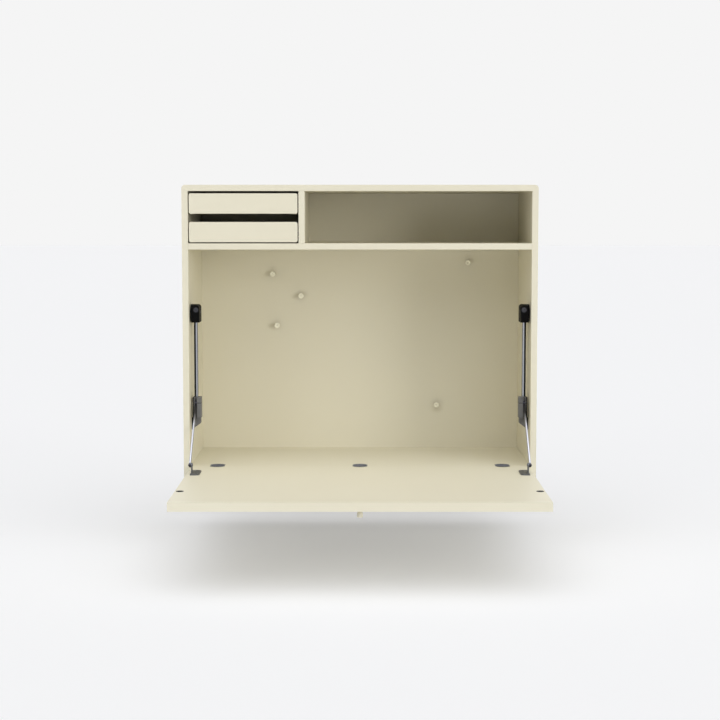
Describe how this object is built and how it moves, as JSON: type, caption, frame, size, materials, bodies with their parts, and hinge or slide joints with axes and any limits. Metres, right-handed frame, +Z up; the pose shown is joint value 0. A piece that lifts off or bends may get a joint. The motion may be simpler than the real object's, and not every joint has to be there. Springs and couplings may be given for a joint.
{
  "type": "fold down wall desk",
  "caption": "Wall-hung cabinet desk with a fold-down flap on rail stays, pull-out trays and an open bay above, and round magnets on the back.",
  "frame": {"origin": "middle of the wall rail's row of screw holes, on the wall plane", "axes": "+X to the right, +Y into the wall, +Z up; the flap opens towards -Y"},
  "size_m": [0.696, 0.7095, 0.5845],
  "materials": {
    "board_lacquer": "satin lacquer on fibreboard",
    "sheet_lacquer": "satin lacquer on steel sheet",
    "knob_lacquer": "satin lacquer on turned wood",
    "magnet_lacquer": "satin lacquer on a steel magnet pot",
    "hinge_metal": "dull nickel on zinc casting",
    "chrome_tube": "polished chrome",
    "bright_steel": "bright zinc",
    "black_plastic": "fine matt grain",
    "grey_plastic": "fine matt grain",
    "magnet_grey": "dull grey",
    "catch_steel": "dark nickel",
    "dark_metal": "dark nickel on steel",
    "galvanised_steel": "zinc plated",
    "rubber": "matt",
    "runner_plastic": "smooth matt"
  },
  "bodies": {
    "cabinet": {"back_board": "board_lacquer", "board_magnets": "magnet_lacquer", "bottom_panel": "board_lacquer", "catch_magnets": "magnet_grey", "desk_floor": "board_lacquer", "divider_panel": "board_lacquer", "hinge_floor_cups": "hinge_metal", "hinge_pins": "hinge_metal", "hook_rail": "galvanised_steel", "left_side_panel": "board_lacquer", "magnet_sheet": "sheet_lacquer", "right_side_panel": "board_lacquer", "shelf_panel": "board_lacquer", "stay_cap_left": "black_plastic", "stay_cap_right": "black_plastic", "stay_foot_left": "grey_plastic", "stay_foot_right": "grey_plastic", "stay_rail_left": "chrome_tube", "stay_rail_right": "chrome_tube", "top_panel": "board_lacquer", "tray_runners": "runner_plastic", "wall_bumpers": "rubber", "wall_rail": "galvanised_steel"},
    "flap": {"bracket_pins": "bright_steel", "catch_plates": "catch_steel", "flap_bracket_left": "dark_metal", "flap_bracket_right": "dark_metal", "flap_knob": "knob_lacquer", "flap_panel": "board_lacquer", "hinge_flap_cups": "hinge_metal"},
    "rod_left": {"stay_rod_left": "bright_steel"},
    "slider_left": {"stay_slider_left": "grey_plastic", "stay_slider_pin_left": "bright_steel"},
    "rod_right": {"stay_rod_right": "bright_steel"},
    "slider_right": {"stay_slider_pin_right": "bright_steel", "stay_slider_right": "grey_plastic"},
    "tray_upper": {"tray_upper_back": "board_lacquer", "tray_upper_base": "board_lacquer", "tray_upper_front": "board_lacquer", "tray_upper_sides": "board_lacquer"},
    "tray_lower": {"tray_lower_back": "board_lacquer", "tray_lower_base": "board_lacquer", "tray_lower_front": "board_lacquer", "tray_lower_sides": "board_lacquer"}
  },
  "joints": [
    {"name": "flap_hinge", "type": "hinge", "parent": "cabinet", "child": "flap", "pos_m": [0, -0.284, -0.51], "axis": [-1, 0, 0], "range_deg": [0, 90]},
    {"name": "rod_left_pivot", "type": "hinge", "parent": "flap", "child": "rod_left", "pos_m": [-0.327, -0.385, -0.494], "axis": [1, 0, 0], "range_deg": [0, 137.02]},
    {"name": "slider_left_pivot", "type": "hinge", "parent": "rod_left", "child": "slider_left", "pos_m": [-0.327, -0.261, -0.388], "axis": [-1, 0, 0], "range_deg": [0, 47.02]},
    {"name": "rod_right_pivot", "type": "hinge", "parent": "flap", "child": "rod_right", "pos_m": [0.327, -0.385, -0.494], "axis": [1, 0, 0], "range_deg": [0, 137.02]},
    {"name": "slider_right_pivot", "type": "hinge", "parent": "rod_right", "child": "slider_right", "pos_m": [0.327, -0.261, -0.388], "axis": [-1, 0, 0], "range_deg": [0, 47.02]},
    {"name": "tray_upper_slide", "type": "slide", "parent": "cabinet", "child": "tray_upper", "axis": [0, -1, 0], "range_m": [0, 0.18]},
    {"name": "tray_lower_slide", "type": "slide", "parent": "cabinet", "child": "tray_lower", "axis": [0, -1, 0], "range_m": [0, 0.18]}
  ],
  "couplings": [
    {"joint": "rod_left_pivot", "follows": "flap_hinge", "ratio": 1.5224},
    {"joint": "slider_left_pivot", "follows": "flap_hinge", "ratio": 0.5224},
    {"joint": "rod_right_pivot", "follows": "flap_hinge", "ratio": 1.5224},
    {"joint": "slider_right_pivot", "follows": "flap_hinge", "ratio": 0.5224}
  ]
}
